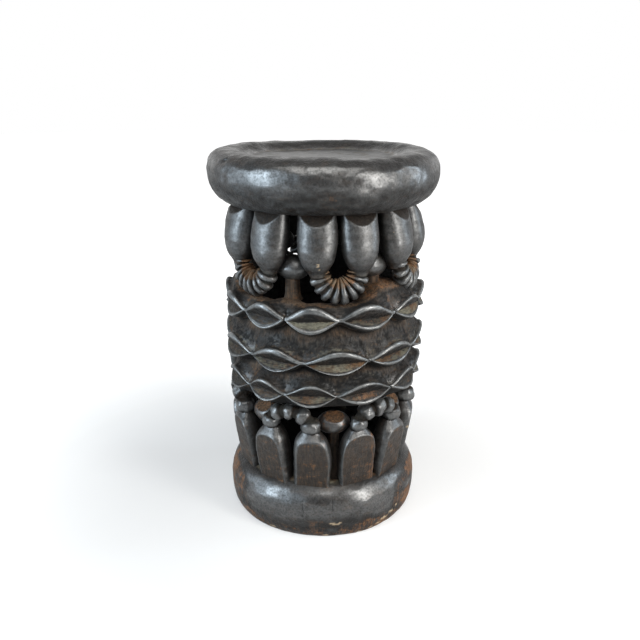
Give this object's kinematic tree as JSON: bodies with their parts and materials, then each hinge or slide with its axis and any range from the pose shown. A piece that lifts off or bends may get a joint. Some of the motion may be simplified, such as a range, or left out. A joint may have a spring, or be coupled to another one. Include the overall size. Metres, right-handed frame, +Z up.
{
  "type": "stool",
  "caption": "Round carved wooden stool: a dished seat on a ring of paired limbs, a hollow cowrie-carved drum, a second ring of limbs and a heavy foot ring.",
  "frame": {"origin": "centre of the foot's flat underside, on the floor", "axes": "+Z up along the stool's axis, -Y towards the side that the picture shows, +X to the right in it"},
  "size_m": [0.3, 0.3, 0.5],
  "materials": {
    "seat_wood": "blackened and waxed, hand carved",
    "foot_wood": "blackened and waxed, hand carved",
    "band_wood": "blackened and waxed, hand carved",
    "limb_wood": "blackened and waxed, hand carved",
    "link_wood": "blackened and waxed, hand carved",
    "knob_wood": "blackened and waxed, hand carved"
  },
  "bodies": {
    "root": {"seat": "seat_wood", "foot": "foot_wood", "cowrie_band_top": "band_wood", "cowrie_band_middle": "band_wood", "cowrie_band_bottom": "band_wood", "upper_limb_01": "limb_wood", "upper_limb_02": "limb_wood", "upper_limb_03": "limb_wood", "upper_limb_04": "limb_wood", "upper_limb_05": "limb_wood", "upper_limb_06": "limb_wood", "upper_limb_07": "limb_wood", "upper_limb_08": "limb_wood", "upper_limb_09": "limb_wood", "upper_limb_10": "limb_wood", "upper_limb_11": "limb_wood", "upper_limb_12": "limb_wood", "upper_link_1": "link_wood", "upper_link_2": "link_wood", "upper_link_3": "link_wood", "upper_link_4": "link_wood", "upper_link_5": "link_wood", "upper_link_6": "link_wood", "upper_knob_1": "knob_wood", "upper_knob_2": "knob_wood", "upper_knob_3": "knob_wood", "upper_knob_4": "knob_wood", "upper_knob_5": "knob_wood", "upper_knob_6": "knob_wood", "lower_limb_01": "limb_wood", "lower_limb_02": "limb_wood", "lower_limb_03": "limb_wood", "lower_limb_04": "limb_wood", "lower_limb_05": "limb_wood", "lower_limb_06": "limb_wood", "lower_limb_07": "limb_wood", "lower_limb_08": "limb_wood", "lower_limb_09": "limb_wood", "lower_limb_10": "limb_wood", "lower_limb_11": "limb_wood", "lower_limb_12": "limb_wood", "lower_arch_1": "link_wood", "lower_arch_2": "link_wood", "lower_arch_3": "link_wood", "lower_arch_4": "link_wood", "lower_arch_5": "link_wood", "lower_arch_6": "link_wood", "lower_knob_1": "knob_wood", "lower_knob_2": "knob_wood", "lower_knob_3": "knob_wood", "lower_knob_4": "knob_wood", "lower_knob_5": "knob_wood", "lower_knob_6": "knob_wood"}
  },
  "joints": []
}
